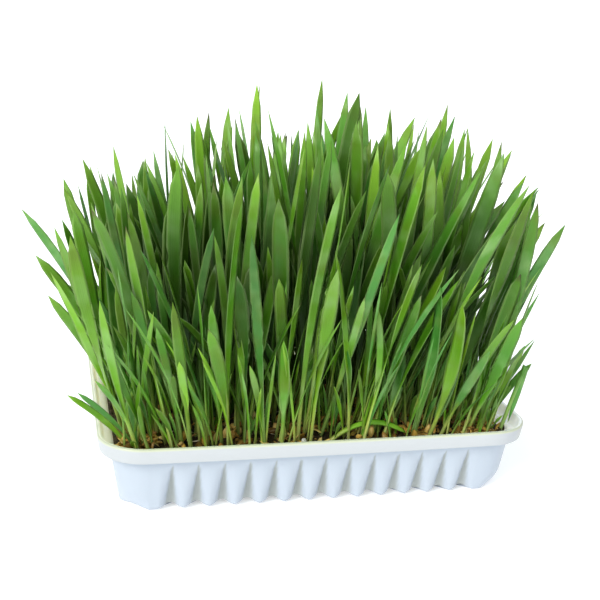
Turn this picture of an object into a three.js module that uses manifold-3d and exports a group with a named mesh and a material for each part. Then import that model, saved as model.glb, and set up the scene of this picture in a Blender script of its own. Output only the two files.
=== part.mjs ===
// Wheatgrass grown in a fluted white plastic tray. Millimetres, +Z up.
// The origin is the centre of the flat underside. +X runs along the long side and the
// front long side faces -Y.
import * as THREE from 'three';
import { mergeVertices } from 'three/addons/utils/BufferGeometryUtils.js';
import Module from 'manifold-3d';

// Tray: overall size at the rim
const TRAY_LENGTH = 187;
const TRAY_WIDTH = 137;
const RIM_TOP = 31;
const RIM_RADIUS = 18.9;
const SIDE_BULGE = 1.1;

// Tray: the smooth collar band under the rim
const COLLAR_HEIGHT = 6.6;
const COLLAR_TAPER = 0.9;
const COLLAR_ROUNDING = 0.45;
const LIP_WIDTH = 2.0;
const LIP_CHAMFER = 0.4;
const LEDGE_TOP = 25.8;
const LEDGE_FALL = 0.4;
const LEDGE_WIDTH = 1.3;

// Tray: the body below the collar, measured inwards from the rim's outer edge
const BODY_INSET_TOP = 5.2;
const BODY_INSET_LOW = 8.9;
const BODY_RADIUS_TOP = 15.1;
const BODY_RADIUS_LOW = 11.4;
const FOOT_ROUNDING = 2.2;
const FOOT_HEIGHT = 2.7;
const FOOT_TURN_HEIGHT = 0.8;
const FOOT_TURN_SHARE = 0.7;
const FLAT_SHARE = 0.9;
const CORNER_FOOT = 6;
const CORNER_FOOT_HEIGHT = 9;
const CORNER_FOOT_MIDDLE = 5.5;
const BODY_INTO_COLLAR = 0.6;
const WALL = 1.3;
const FLOOR = 2.4;
const FLOOR_ROUNDING = 1.5;

// Tray: the flutes, which start at nothing near the collar and are deepest at the floor. The
// ribs between them swell outwards, and the foot's edge arches up from rib to rib
const FLUTE_PITCH = 10.7;
const FLUTES_LONG = 13;
const FLUTES_SHORT = 8;
const FLUTE_TOP = 22.6;
const FLUTE_MIDDLE = 12.6;
const FLUTE_START = 0.02;
const FLUTE_DEPTH = 3.0;
const FLUTE_DEEPENING = 1.6;
const FLUTE_HALF_WIDTH_TOP = 0.3;
const FLUTE_HALF_WIDTH_LOW = 2.6;
const FLUTE_BED = 0.6;
const RIB_SWELL = 1.0;
const FOOT_LIFT = 1.6;

// Growing medium: a soil block, and on it the sod of roots, soil and seed
const GAP = 0.35;
const SOIL_TOP = 18.5;
const SOIL_ROUNDING = 2.2;
const SOD_BOTTOM = 18.9;
const SOD_TOP = 24.4;
const SOD_EDGE_DROP = 0.5;
const SOD_MOUND = 1.6;
const SOD_ROUGHNESS = 0.7;
const SOD_RINGS = [0.96, 0.8, 0.6, 0.4, 0.2];

// Lumps of the sod: a short wave and a long one, in radians per mm
const LUMP_ALONG = 0.31;
const LUMP_ACROSS = 0.37;
const LUMP_START_ALONG = 1.7;
const LUMP_START_ACROSS = 0.4;
const LONG_LUMP_ALONG = 0.13;
const LONG_LUMP_ACROSS = 0.19;
const LONG_LUMP_SHARE = 0.6;

// Seed kernels, half sunk in the sod
const KERNEL_COUNT = 36;
const KERNEL_LENGTH = 8.0;
const KERNEL_WIDTH = 3.8;
const KERNEL_EDGE = 12.5;
const KERNEL_TILT = 0.7;
const KERNEL_RISE = 0.5;

// Blades of the field: how many, and where they may root
const BLADE_COUNT = 306;
const BLADE_TRIES = 40;
const BLADE_SEED = 20417;
const ROOT_SPACING = 4.6;
const ROOT_EDGE = 10.5;
const ROOT_CORNER = 5;
const ROOT_DEPTH = 3.2;
const BLADE_CLEARANCE = 0.9;

// Blades: length, shorter towards the sides and the front
const BLADE_LENGTH = 131;
const BLADE_LENGTH_SPREAD = 23;
const SHORTER_LEFT = 0.27;
const SHORTER_RIGHT = 0.2;
const SHORTER_FRONT = 0.45;
const LATE_SHARE = 0.16;
const LATE_LENGTH = 0.72;

// Blades: width, and the keel that makes them thick enough
const BLADE_WIDTH = 5.3;
const BLADE_WIDTH_SPREAD = 1.9;
const STEM_WIDTH = 1.7;
const STEM_KEEL = 1.5;
const BLADE_KEEL = 1.1;
const KEEL_END = 0.6;
const KEEL_BEHIND = 0.65;
const SLIMMER_LEFT = 0.6;

// Shape along a blade, in shares of its length
const NECK_LEAST = 0.08;
const NECK_MOST = 0.34;
const OPENING = 0.42;
const CLOSING_LEAST = 0.12;
const CLOSING_MOST = 0.36;
const CLOSING_POWER = 2.5;
const TIP_POWER = 0.8;
const TURN_START = 0.35;
const TURN = 0.45;
const TWIST = 2.6;
const BLADE_STATIONS = [0, 0.42, 0.84];

// The angle at which most leaves show their face, and how much the others are held to it
const FACING = -0.25;
const FACING_BIAS = 0.3;

// How far the blades lean towards each edge and how much they differ, in radians
const LEAN_LEFT = 0.36;
const LEAN_RIGHT = 0.36;
const LEAN_FRONT = 0.24;
const LEAN_BACK = 0.2;
const LEAN_SCATTER = 0.44;
const FAN_POWER = 1.2;
const FIRST_LEAN = 0.75;
const TIP_SWAY = 0.5;

// How much more a blade leans in its upper half, as a factor
const CURL_LEAST = 0.3;
const CURL_MOST = 1.8;
const CURLED_SHARE = 0.14;
const CURLED_MORE = 1.5;

// No tip of the field reaches further out than this
const REACH_LEFT = -119;
const REACH_RIGHT = 119;
const REACH_RIGHT_MIDDLE = 126;
const REACH_RIGHT_SLOPE = 0.5;
const REACH_FRONT = -84;
const REACH_BACK = 88;

// Nor does a tip rise above the crown, which slopes down to the left and to the right
const CROWN_TOP = 174;
const CROWN_LEFT_X = -97;
const CROWN_LEFT_Z = 137;
const CROWN_LEFT_SLOPE = 0.6;
const CROWN_LEFT_STEEP = 2.2;
const CROWN_RIGHT_SUM = 247;
const CROWN_RIGHT_SLOPE = 0.4;

// Blades that stand apart from the field, by hand: root x and y, tip x, y and z, width, and
// where the middle of the curve is drawn to, as shares of the rise and of the way outwards
const STRAY_OUTWARD = 0.2;
const STRAY_TWIST = 0.6;
const STRAY_NECK = 0.15;
const STRAY_CLOSING = 0.2;
const STRAYS = {
  frontLeftLow: { root: [-80, -47], tip: [-105, -44, 46], width: 2.6, upright: 0.5, face: 0.4 },
  frontLeftLowTwin: { root: [-77, -50], tip: [-101, -50, 49], width: 2.3, upright: 0.45, face: 0.0 },
  leftReach: { root: [-80, 22], tip: [-123, 14, 112], width: 5.0, upright: 0.5, face: -0.5 },
  leftReachLower: { root: [-79, 4], tip: [-117, -4, 95], width: 5.0, upright: 0.5, face: 0.1 },
  leftLow: { root: [-81, -14], tip: [-112, -22, 82], width: 4.6, upright: 0.45, face: -0.2 },
  rightReach: { root: [81, -30], tip: [112, -38, 116], width: 5.2, upright: 0.5, face: -0.1 },
  rightReachTwin: { root: [80, -8], tip: [116, -12, 112], width: 5.4, upright: 0.5, face: -0.5 },
  rightHigh: { root: [74, 24], tip: [108, 14, 143], width: 5.0, upright: 0.5, face: -0.3 },
  rightShoulder: { root: [79, 12], tip: [110, 0, 133], width: 4.8, upright: 0.5, face: -0.1 },
  rightShoulderTwin: { root: [81, -17], tip: [110, -12, 127], width: 5.0, upright: 0.5, face: -0.6 },
  leftHigh: { root: [-68, 6], tip: [-97, 0, 136], width: 4.6, upright: 0.5, face: 0.2 },
  rightUp: { root: [79, -51], tip: [85, -50, 68], width: 3.4, upright: 0.6, face: -0.7 },
  rightFork: { root: [82, -45], tip: [95, -45, 62], width: 3.4, upright: 0.5, face: 0.1 },
  rightForkLow: { root: [83, -40], tip: [100, -44, 53], width: 3.0, upright: 0.5, face: -0.4 },
  rightDroop: {
    root: [82, -53], tip: [86, -54, 29],
    width: 2.6, upright: 8.4, face: -0.2, outward: 4,
  },
  frontArch: {
    root: [0, -54], tip: [38, -56, 27],
    width: 2.6, upright: 3.4, outward: 0.5, face: 1.5,
  },
  tallBackLeft: { root: [-12, 44], tip: [-13, 48, 168], width: 5.2, upright: 0.5, face: -0.2 },
  tallBack: { root: [16, 46], tip: [20, 50, 172], width: 4.6, upright: 0.5, face: 0.3 },
  tallMiddle: { root: [22, 36], tip: [31, 42, 166], width: 4.8, upright: 0.5, face: -0.5 },
  tallBackRight: { root: [42, 40], tip: [39, 50, 165], width: 5.0, upright: 0.5, face: -0.1 },
  tallRight: { root: [70, 36], tip: [84, 42, 162], width: 4.4, upright: 0.5, face: -0.4 },
  tallLeft: { root: [-34, 40], tip: [-42, 46, 152], width: 5.2, upright: 0.5, face: 0.0 },
};

// Heights at which two blades are compared, so that none passes through another
const SLICE_STEP = 8;
const SLICE_COUNT = 19;
const SLICE_SAMPLES = 16;

const HALF_LENGTH = TRAY_LENGTH / 2;
const HALF_WIDTH = TRAY_WIDTH / 2;
const COLLAR_BOTTOM = RIM_TOP - COLLAR_HEIGHT;
const LEDGE_FOOT = LEDGE_TOP - LEDGE_FALL;
const CAVITY_INSET_LOW = BODY_INSET_LOW + FLUTE_DEPTH + WALL;
const CAVITY_INSET_TOP = BODY_INSET_TOP + WALL;

const wasm = await Module();
wasm.setup();

// A repeatable stream of numbers from 0 to 1
function seededRandom(seed) {
  let state = seed >>> 0;
  return () => {
    state = (state + 0x6d2b79f5) >>> 0;
    let t = state;
    t = Math.imul(t ^ (t >>> 15), t | 1);
    t ^= t + Math.imul(t ^ (t >>> 7), t | 61);
    return ((t ^ (t >>> 14)) >>> 0) / 4294967296;
  };
}

const mix = (a, b, t) => a + (b - a) * t;
const clamp01 = (t) => Math.min(1, Math.max(0, t));
const smooth = (t) => clamp01(t) * clamp01(t) * (3 - 2 * clamp01(t));

function toSolid(geometry) {
  const bare = geometry.clone();
  bare.deleteAttribute('normal');
  bare.deleteAttribute('uv');
  const merged = mergeVertices(bare, 1e-5);
  const vertProperties = new Float32Array(merged.attributes.position.array);
  const triVerts = new Uint32Array(merged.index.array);
  return new wasm.Manifold(new wasm.Mesh({ numProp: 3, vertProperties, triVerts }));
}

function toGeometry(solid) {
  const mesh = solid.getMesh();
  const geometry = new THREE.BufferGeometry();
  geometry.setAttribute('position', new THREE.BufferAttribute(mesh.vertProperties, 3));
  geometry.setIndex(new THREE.BufferAttribute(mesh.triVerts, 1));
  geometry.computeVertexNormals();
  return geometry;
}

// Joins rings of equal point count into one closed body, with a cap on each end
function loft(rings) {
  const count = rings[0].length;
  const points = rings.flat();
  const faces = [];
  for (let level = 0; level + 1 < rings.length; level++) {
    for (let i = 0; i < count; i++) {
      const a = level * count + i;
      const b = level * count + (i + 1) % count;
      faces.push(a, b, b + count, a, b + count, a + count);
    }
  }
  const middle = (ring) => ring.reduce((sum, p) => sum.add(p), new THREE.Vector3()).divideScalar(count);
  const low = points.push(middle(rings[0])) - 1;
  const high = points.push(middle(rings[rings.length - 1])) - 1;
  const last = (rings.length - 1) * count;
  for (let i = 0; i < count; i++) {
    const next = (i + 1) % count;
    faces.push(low, next, i);
    faces.push(high, last + i, last + next);
  }
  return new THREE.BufferGeometry().setFromPoints(points).setIndex(faces);
}

// The long sides bow outwards a little in their middle under the weight of wet soil
function bowed(x, y, z) {
  const bow = SIDE_BULGE / HALF_WIDTH * Math.max(0, 1 - (x / HALF_LENGTH) ** 2);
  return new THREE.Vector3(x, y * (1 + bow), z);
}

// Rounded rectangle at one height, anticlockwise seen from above
function roundedRing(inset, radius, z, cornerSteps = 6, sideSteps = 4) {
  const ring = [];
  const cx = HALF_LENGTH - inset - radius;
  const cy = HALF_WIDTH - inset - radius;
  const corners = [[cx, cy], [-cx, cy], [-cx, -cy], [cx, -cy]];
  corners.forEach(([x, y], quarter) => {
    for (let i = 0; i <= cornerSteps; i++) {
      const angle = (quarter + i / cornerSteps) * Math.PI / 2;
      ring.push(new THREE.Vector2(x + radius * Math.cos(angle), y + radius * Math.sin(angle)));
    }
    const from = ring[ring.length - 1];
    const [nx, ny] = corners[(quarter + 1) % 4];
    const turn = (quarter + 1) * Math.PI / 2;
    const to = new THREE.Vector2(nx + radius * Math.cos(turn), ny + radius * Math.sin(turn));
    for (let i = 1; i < sideSteps; i++) {
      ring.push(from.clone().lerp(to, i / sideSteps));
    }
  });
  return ring.map((p) => bowed(p.x, p.y, z));
}

const bodyRise = (z) => (z - FOOT_HEIGHT) / (COLLAR_BOTTOM - FOOT_HEIGHT);
const bodyInset = (z) => mix(BODY_INSET_LOW, BODY_INSET_TOP, bodyRise(z));
const bodyRadius = (z) => mix(BODY_RADIUS_LOW, BODY_RADIUS_TOP, bodyRise(z));
const fluteShare = (z) => mix(1, FLUTE_START, (z - FOOT_HEIGHT) / (FLUTE_TOP - FOOT_HEIGHT));
const cavityRise = (z) => (z - FOOT_HEIGHT) / (LEDGE_FOOT - FOOT_HEIGHT);
const cavityInset = (z) => mix(CAVITY_INSET_LOW, CAVITY_INSET_TOP, cavityRise(z));
const cavityRadius = (z) => bodyRadius(z) - (cavityInset(z) - bodyInset(z));

// One side of the fluted body, walked from end to end, as [along, inwards, upwards] points
function flutedSide(flutes, share, lift) {
  const halfWidth = mix(FLUTE_HALF_WIDTH_TOP, FLUTE_HALF_WIDTH_LOW, share);
  const bed = halfWidth * FLUTE_BED;
  const edgeDepth = RIB_SWELL * share;
  const bedDepth = FLUTE_DEPTH * (1 - (1 - share) ** FLUTE_DEEPENING);
  const rise = (off) => lift * Math.sin(Math.PI * (0.5 - off / FLUTE_PITCH));
  const last = (flutes - 1) / 2;
  const side = [[-(last + 0.5) * FLUTE_PITCH, 0, 0]];
  for (let k = -last; k <= last; k++) {
    const centre = k * FLUTE_PITCH;
    side.push([centre - halfWidth, edgeDepth, rise(halfWidth)]);
    side.push([centre - bed, bedDepth, rise(bed)]);
    side.push([centre + bed, bedDepth, rise(bed)]);
    side.push([centre + halfWidth, edgeDepth, rise(halfWidth)]);
    side.push([centre + FLUTE_PITCH / 2, 0, 0]);
  }
  return side;
}

// Fluted outline of the body at one height, anticlockwise seen from above. Its corners are
// drawn in near the foot
function flutedRing(inset, radius, z, share, cornerSteps = 6) {
  const ring = [];
  const x0 = HALF_LENGTH - inset;
  const y0 = HALF_WIDTH - inset;
  const low = clamp01(1 - z / CORNER_FOOT_HEIGHT);
  const drawnIn = CORNER_FOOT * (1 - Math.sqrt(1 - low * low));
  const corner = (sx, sy, quarter) => {
    for (let i = 0; i <= cornerSteps; i++) {
      const turn = i / cornerSteps;
      const angle = (quarter + turn) * Math.PI / 2;
      const reach = radius - drawnIn * Math.sin(turn * Math.PI);
      const x = sx * (x0 - radius) + reach * Math.cos(angle);
      const y = sy * (y0 - radius) + reach * Math.sin(angle);
      ring.push(bowed(x, y, z));
    }
  };
  const lift = FOOT_LIFT * clamp01(1 - z / FOOT_HEIGHT);
  const long = flutedSide(FLUTES_LONG, share, lift);
  const short = flutedSide(FLUTES_SHORT, share, lift);
  corner(1, 1, 0);
  long.forEach(([along, inwards, up]) => ring.push(bowed(-along, y0 - inwards, z + up)));
  corner(-1, 1, 1);
  short.forEach(([along, inwards, up]) => ring.push(bowed(-x0 + inwards, -along, z + up)));
  corner(-1, -1, 2);
  long.forEach(([along, inwards, up]) => ring.push(bowed(along, -y0 + inwards, z + up)));
  corner(1, -1, 3);
  short.forEach(([along, inwards, up]) => ring.push(bowed(x0 - inwards, along, z + up)));
  return ring;
}

function trayGeometry() {
  const footRing = (inset, z) => flutedRing(BODY_INSET_LOW + inset, BODY_RADIUS_LOW - inset, z, 1);
  const wallRing = (z) => flutedRing(bodyInset(z), bodyRadius(z), z, fluteShare(z));
  const foot = footRing(FOOT_ROUNDING, 0);
  const body = toSolid(loft([
    foot.map((p) => new THREE.Vector3(p.x * FLAT_SHARE, p.y * FLAT_SHARE, 0)),
    foot,
    footRing(FOOT_ROUNDING * (1 - FOOT_TURN_SHARE), FOOT_TURN_HEIGHT),
    footRing(0, FOOT_HEIGHT),
    wallRing(CORNER_FOOT_MIDDLE),
    wallRing(FLUTE_MIDDLE),
    wallRing(FLUTE_TOP),
    flutedRing(BODY_INSET_TOP, BODY_RADIUS_TOP, COLLAR_BOTTOM + BODY_INTO_COLLAR, FLUTE_START),
  ]));
  const rimRing = (inset, z) => roundedRing(inset, RIM_RADIUS - inset, z);
  const collar = toSolid(loft([
    rimRing(COLLAR_TAPER + COLLAR_ROUNDING, COLLAR_BOTTOM),
    rimRing(COLLAR_TAPER, COLLAR_BOTTOM + COLLAR_ROUNDING),
    rimRing(0, RIM_TOP - COLLAR_ROUNDING),
    rimRing(COLLAR_ROUNDING, RIM_TOP),
  ]));
  const low = FLOOR + FLOOR_ROUNDING;
  const cavity = toSolid(loft([
    roundedRing(cavityInset(low) + FLOOR_ROUNDING, cavityRadius(low) - FLOOR_ROUNDING, FLOOR),
    roundedRing(cavityInset(low), cavityRadius(low), low),
    roundedRing(CAVITY_INSET_TOP, cavityRadius(LEDGE_FOOT), LEDGE_FOOT),
    rimRing(LIP_WIDTH + LEDGE_WIDTH, LEDGE_TOP),
    rimRing(LIP_WIDTH, RIM_TOP - LIP_CHAMFER),
    rimRing(LIP_WIDTH - LIP_CHAMFER, RIM_TOP + LIP_CHAMFER),
  ]));
  return toGeometry(body.add(collar).subtract(cavity));
}

function soilGeometry() {
  const ring = (z, extra) => roundedRing(cavityInset(z) + GAP + extra, cavityRadius(z) - GAP, z);
  const low = ring(FLOOR + GAP, SOIL_ROUNDING);
  const shoulder = ring(FLOOR + SOIL_ROUNDING, 0);
  return toGeometry(toSolid(loft([low, shoulder, ring(SOIL_TOP, 0)])));
}

// Height of the sod's surface: a low mound with lumps
function sodHeight(x, y) {
  const edge = Math.max(Math.abs(x) / HALF_LENGTH, Math.abs(y) / HALF_WIDTH);
  const waveAlong = Math.sin(x * LUMP_ALONG + LUMP_START_ALONG);
  const waveAcross = Math.cos(y * LUMP_ACROSS + LUMP_START_ACROSS);
  const longWave = Math.sin(x * LONG_LUMP_ALONG - y * LONG_LUMP_ACROSS);
  const lumps = waveAlong * waveAcross + LONG_LUMP_SHARE * longWave;
  return SOD_TOP + SOD_MOUND * (1 - edge * edge) + SOD_ROUGHNESS * lumps * (1 - edge ** 4);
}

function sodSolid() {
  const edge = (z, drop) => roundedRing(cavityInset(z) + GAP, cavityRadius(z) - GAP, z - drop);
  const rim = edge(SOD_TOP, SOD_EDGE_DROP);
  const rings = [edge(SOD_BOTTOM, 0), rim];
  for (const share of SOD_RINGS) {
    const ring = rim.map(({ x, y }) => new THREE.Vector3(x * share, y * share, 0));
    ring.forEach((p) => p.setZ(sodHeight(p.x, p.y)));
    rings.push(ring);
  }
  return toSolid(loft(rings));
}

function strayBlade({ root, tip, width, upright, face, outward = STRAY_OUTWARD }) {
  const p0 = new THREE.Vector3(root[0], root[1], SOD_TOP - ROOT_DEPTH);
  const p2 = new THREE.Vector3(...tip);
  const p1 = p0.clone().lerp(p2, outward);
  p1.z = mix(p0.z, p2.z, upright);
  return { p0, p1, p2, width, face, twist: STRAY_TWIST, neck: STRAY_NECK, closing: STRAY_CLOSING };
}

// Blades of the field: they fan out towards the tray's edges and are shorter at the sides and
// the front
function fieldBlade(x, y, random) {
  const u = x / HALF_LENGTH;
  const v = y / HALF_WIDTH;
  const fanX = (u < 0 ? -LEAN_LEFT : LEAN_RIGHT) * Math.abs(u) ** FAN_POWER;
  const fanY = (v < 0 ? -LEAN_FRONT : LEAN_BACK) * Math.abs(v) ** FAN_POWER;
  const leanX = fanX + (random() - 0.5) * LEAN_SCATTER;
  const leanY = fanY + (random() - 0.5) * LEAN_SCATTER;
  const curl = mix(CURL_LEAST, CURL_MOST, random()) * (random() < CURLED_SHARE ? CURLED_MORE : 1);
  const swayX = (random() - 0.5) * TIP_SWAY;
  const swayY = (random() - 0.5) * TIP_SWAY;
  const left = SHORTER_LEFT * clamp01((-u - 0.1) / 0.8) ** 1.3;
  const side = left + SHORTER_RIGHT * smooth((u - 0.6) / 0.35);
  const front = SHORTER_FRONT * smooth((-v - 0.35) / 0.5);
  const spread = (random() + random() + random()) / 1.5 - 1;
  const late = random() < LATE_SHARE ? LATE_LENGTH : 1;
  const length = (BLADE_LENGTH + BLADE_LENGTH_SPREAD * spread) * late * (1 - side) * (1 - front * random());
  const width = (BLADE_WIDTH + BLADE_WIDTH_SPREAD * (2 * random() - 1)) * (1 - SLIMMER_LEFT * left);
  const turn = (2 * random() - 1) * Math.PI / 2;
  const face = FACING + turn * mix(FACING_BIAS, 1, Math.abs(turn) * 2 / Math.PI);
  const twist = (random() - 0.5) * TWIST;
  const neck = mix(NECK_LEAST, NECK_MOST, random());
  const closing = mix(CLOSING_LEAST, CLOSING_MOST, random());
  const p0 = new THREE.Vector3(x, y, SOD_TOP - ROOT_DEPTH);
  const reach = (from, turnX, turnY) => new THREE.Vector3(
    from.x + length / 2 * Math.sin(turnX),
    from.y + length / 2 * Math.sin(turnY),
    from.z + length / 2 * Math.cos(Math.hypot(turnX, turnY)),
  );
  const p1 = reach(p0, leanX * FIRST_LEAN, leanY * FIRST_LEAN);
  const p2 = reach(p1, leanX * curl + swayX, leanY * curl + swayY);
  return { p0, p1, p2, width, face, twist, neck, closing };
}

function outOfReach(tip) {
  const right = Math.min(REACH_RIGHT, REACH_RIGHT_MIDDLE + REACH_RIGHT_SLOPE * tip.y);
  const beyond = tip.x - CROWN_LEFT_X;
  const leftSide = CROWN_LEFT_Z + (beyond < 0 ? CROWN_LEFT_STEEP : CROWN_LEFT_SLOPE) * beyond;
  const rightSide = CROWN_RIGHT_SUM - tip.x + CROWN_RIGHT_SLOPE * tip.y;
  const inside = tip.x > REACH_LEFT && tip.x < right && tip.y > REACH_FRONT && tip.y < REACH_BACK;
  return !inside || tip.z >= Math.min(CROWN_TOP, leftSide, rightSide);
}

// Blade centre line, a quadratic curve
function bladePoint({ p0, p1, p2 }, s) {
  const q = 1 - s;
  return new THREE.Vector3(
    q * q * p0.x + 2 * q * s * p1.x + s * s * p2.x,
    q * q * p0.y + 2 * q * s * p1.y + s * s * p2.y,
    q * q * p0.z + 2 * q * s * p1.z + s * s * p2.z,
  );
}

// Width along the blade: a slim sheath, then the open blade, then a blunt point
function bladeWidth({ width, neck, closing }, s) {
  const opened = smooth((s - neck) / OPENING);
  const tapered = (1 - clamp01((s - 1 + closing) / closing) ** CLOSING_POWER) ** TIP_POWER;
  return mix(STEM_WIDTH, width, opened) * tapered;
}

// Which way the blade faces at its tip, and how its sheath is turned from that
const bladeAngle = ({ face, twist }, s) => face - twist * (1 - smooth((s - TURN_START) / TURN));

function bladeSlices(blade) {
  const slices = new Array(SLICE_COUNT).fill(null);
  let from = bladePoint(blade, 0);
  for (let i = 1; i <= SLICE_SAMPLES; i++) {
    const to = bladePoint(blade, i / SLICE_SAMPLES);
    for (let k = 0; k < SLICE_COUNT; k++) {
      const z = SOD_TOP + k * SLICE_STEP;
      if (from.z <= z && z < to.z) {
        const t = (z - from.z) / (to.z - from.z);
        const s = (i - 1 + t) / SLICE_SAMPLES;
        const half = bladeWidth(blade, s) / 2;
        const angle = bladeAngle(blade, s);
        slices[k] = {
          x: mix(from.x, to.x, t),
          y: mix(from.y, to.y, t),
          half,
          dx: half * Math.cos(angle),
          dy: half * Math.sin(angle),
        };
      }
    }
    from = to;
  }
  return slices;
}

function pointToStrip(px, py, strip) {
  const along = ((px - strip.x) * strip.dx + (py - strip.y) * strip.dy) / (strip.half * strip.half);
  const t = Math.min(1, Math.max(-1, along));
  return Math.hypot(px - strip.x - t * strip.dx, py - strip.y - t * strip.dy);
}

function stripsTouch(a, b) {
  if (Math.hypot(a.x - b.x, a.y - b.y) > a.half + b.half + BLADE_CLEARANCE) {
    return false;
  }
  const ends = [-1, 1];
  const nearA = ends.some((e) => pointToStrip(a.x + e * a.dx, a.y + e * a.dy, b) < BLADE_CLEARANCE);
  const nearB = ends.some((e) => pointToStrip(b.x + e * b.dx, b.y + e * b.dy, a) < BLADE_CLEARANCE);
  if (nearA || nearB) {
    return true;
  }
  const side = (s, px, py) => Math.sign((px - s.x) * s.dy - (py - s.y) * s.dx);
  const splitsA = side(a, b.x - b.dx, b.y - b.dy) !== side(a, b.x + b.dx, b.y + b.dy);
  const splitsB = side(b, a.x - a.dx, a.y - a.dy) !== side(b, a.x + a.dx, a.y + a.dy);
  return splitsA && splitsB;
}

const bladesTouch = (a, b) => a.some((slice, k) => slice && b[k] && stripsTouch(slice, b[k]));

function growBlades() {
  const random = seededRandom(BLADE_SEED);
  const blades = Object.values(STRAYS).map(strayBlade);
  const taken = blades.map(bladeSlices);
  const halfX = HALF_LENGTH - ROOT_EDGE;
  const halfY = HALF_WIDTH - ROOT_EDGE;
  for (let n = 0; n < BLADE_COUNT; n++) {
    for (let attempt = 0; attempt < BLADE_TRIES; attempt++) {
      const x = (2 * random() - 1) * halfX;
      const y = (2 * random() - 1) * halfY;
      const blade = fieldBlade(x, y, random);
      const corner = Math.abs(x) + Math.abs(y) > halfX + halfY - ROOT_CORNER;
      const crowded = blades.some((other) => Math.hypot(other.p0.x - x, other.p0.y - y) < ROOT_SPACING);
      if (corner || crowded || outOfReach(blade.p2)) {
        continue;
      }
      const slices = bladeSlices(blade);
      if (taken.some((other) => bladesTouch(other, slices))) {
        continue;
      }
      blades.push(blade);
      taken.push(slices);
      break;
    }
  }
  return blades;
}

// A blade: a shallow three-sided section with a keel, carried along the centre line
function bladeGeometry(blade) {
  const points = [];
  for (const s of BLADE_STATIONS) {
    const centre = bladePoint(blade, s);
    const tangent = bladePoint(blade, s + 0.01).sub(bladePoint(blade, s - 0.01)).normalize();
    const angle = bladeAngle(blade, s);
    const across = new THREE.Vector3(Math.cos(angle), Math.sin(angle), 0);
    across.addScaledVector(tangent, -across.dot(tangent)).normalize();
    const back = new THREE.Vector3().crossVectors(tangent, across);
    const half = bladeWidth(blade, s) / 2;
    const keel = mix(STEM_KEEL, BLADE_KEEL, smooth(s / KEEL_END));
    const face = centre.clone().addScaledVector(back, keel * (KEEL_BEHIND - 1));
    points.push(face.clone().addScaledVector(across, half));
    points.push(centre.clone().addScaledVector(back, keel * KEEL_BEHIND));
    points.push(face.clone().addScaledVector(across, -half));
  }
  points.push(bladePoint(blade, 1));
  const faces = [2, 1, 0];
  const stations = BLADE_STATIONS.length;
  for (let level = 0; level + 1 < stations; level++) {
    for (let i = 0; i < 3; i++) {
      const a = level * 3 + i;
      const b = level * 3 + (i + 1) % 3;
      faces.push(a, b, b + 3, a, b + 3, a + 3);
    }
  }
  const tip = points.length - 1;
  const last = (stations - 1) * 3;
  for (let i = 0; i < 3; i++) {
    faces.push(last + i, last + (i + 1) % 3, tip);
  }
  return new THREE.BufferGeometry().setFromPoints(points).setIndex(faces);
}

function kernelGeometry(random) {
  const x = (2 * random() - 1) * (HALF_LENGTH - KERNEL_EDGE);
  const y = (2 * random() - 1) * (HALF_WIDTH - KERNEL_EDGE);
  const kernel = new THREE.IcosahedronGeometry(1, 0);
  kernel.scale(KERNEL_LENGTH / 2, KERNEL_WIDTH / 2, KERNEL_WIDTH / 2);
  kernel.rotateY((random() - 0.5) * KERNEL_TILT);
  kernel.rotateZ(random() * Math.PI);
  kernel.translate(x, y, sodHeight(x, y) + KERNEL_RISE);
  return kernel;
}

function grassGeometry() {
  const random = seededRandom(BLADE_SEED + 1);
  const solids = [sodSolid()];
  for (let i = 0; i < KERNEL_COUNT; i++) {
    solids.push(toSolid(kernelGeometry(random)));
  }
  for (const blade of growBlades()) {
    solids.push(toSolid(bladeGeometry(blade)));
  }
  return toGeometry(wasm.Manifold.union(solids));
}

const WHITE_PLASTIC = new THREE.MeshStandardMaterial({ color: 0xe6edf3, roughness: 0.38, metalness: 0 });
const MOIST_SOIL = new THREE.MeshStandardMaterial({ color: 0x3a2a1c, roughness: 0.95, metalness: 0 });
const WHEATGRASS = new THREE.MeshStandardMaterial({ color: 0x5f9a3c, roughness: 0.55, metalness: 0 });

function part(name, geometry, material) {
  const mesh = new THREE.Mesh(geometry, material);
  mesh.name = name;
  return mesh;
}

const wheatgrassTray = new THREE.Group();
wheatgrassTray.add(
  part('tray', trayGeometry(), WHITE_PLASTIC),
  part('soil', soilGeometry(), MOIST_SOIL),
  part('grass', grassGeometry(), WHEATGRASS),
);

export default wheatgrassTray;
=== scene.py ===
# Wheatgrass grown in a fluted white plastic tray. Lengths are named in millimetres and
# turned into metres when a mesh is made. +Z up, origin at the centre of the underside.
import math

import bpy
import numpy as np
from mathutils import Matrix, Vector, noise


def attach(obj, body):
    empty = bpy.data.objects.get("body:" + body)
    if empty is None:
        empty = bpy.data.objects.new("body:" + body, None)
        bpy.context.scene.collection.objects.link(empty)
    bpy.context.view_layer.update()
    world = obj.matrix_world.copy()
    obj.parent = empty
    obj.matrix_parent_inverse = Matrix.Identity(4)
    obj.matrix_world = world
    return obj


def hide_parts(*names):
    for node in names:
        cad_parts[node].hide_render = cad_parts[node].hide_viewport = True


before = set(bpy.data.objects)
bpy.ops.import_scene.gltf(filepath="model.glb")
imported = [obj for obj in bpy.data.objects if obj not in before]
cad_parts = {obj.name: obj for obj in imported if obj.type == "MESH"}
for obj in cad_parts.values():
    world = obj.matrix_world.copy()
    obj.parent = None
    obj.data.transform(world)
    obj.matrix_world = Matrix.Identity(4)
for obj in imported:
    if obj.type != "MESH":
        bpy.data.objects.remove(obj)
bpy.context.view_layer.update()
scene = bpy.context.scene

MM = 0.001
FULL_TURN = 2 * math.pi
WHITE = (1.0, 1.0, 1.0)

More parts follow.
